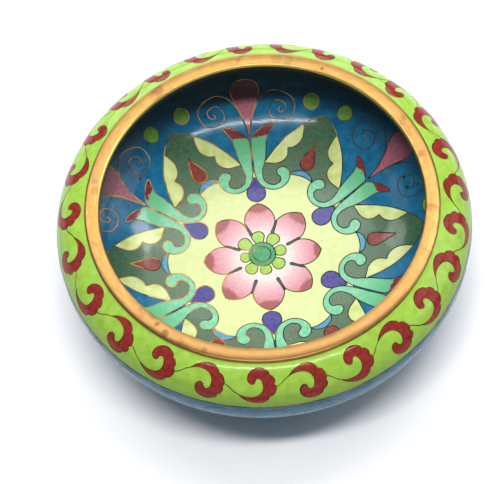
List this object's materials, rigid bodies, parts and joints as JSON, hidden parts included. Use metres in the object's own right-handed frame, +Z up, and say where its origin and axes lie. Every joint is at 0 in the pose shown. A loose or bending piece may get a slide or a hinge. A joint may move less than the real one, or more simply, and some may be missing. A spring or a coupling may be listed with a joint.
{
  "type": "cloisonne bowl",
  "caption": "Low round enamelled metal bowl with an in-curving shoulder, a flat gilt ring round its mouth and a low gilt foot ring.",
  "frame": {"origin": "centre of the foot ring, on the surface the bowl stands on", "axes": "+Z up along the bowl's axis; the bowl is round, so X and Y are alike"},
  "size_m": [0.1024, 0.1024, 0.034],
  "materials": {
    "enamel": "opaque glass enamel in many colours, ground flush with its wires and polished, with fine pits",
    "gilt": "gilt copper, softly polished, with mottled brown patina"
  },
  "bodies": {
    "root": {"bowl": "enamel", "rim_ring": "gilt", "foot_ring": "gilt"}
  },
  "joints": []
}
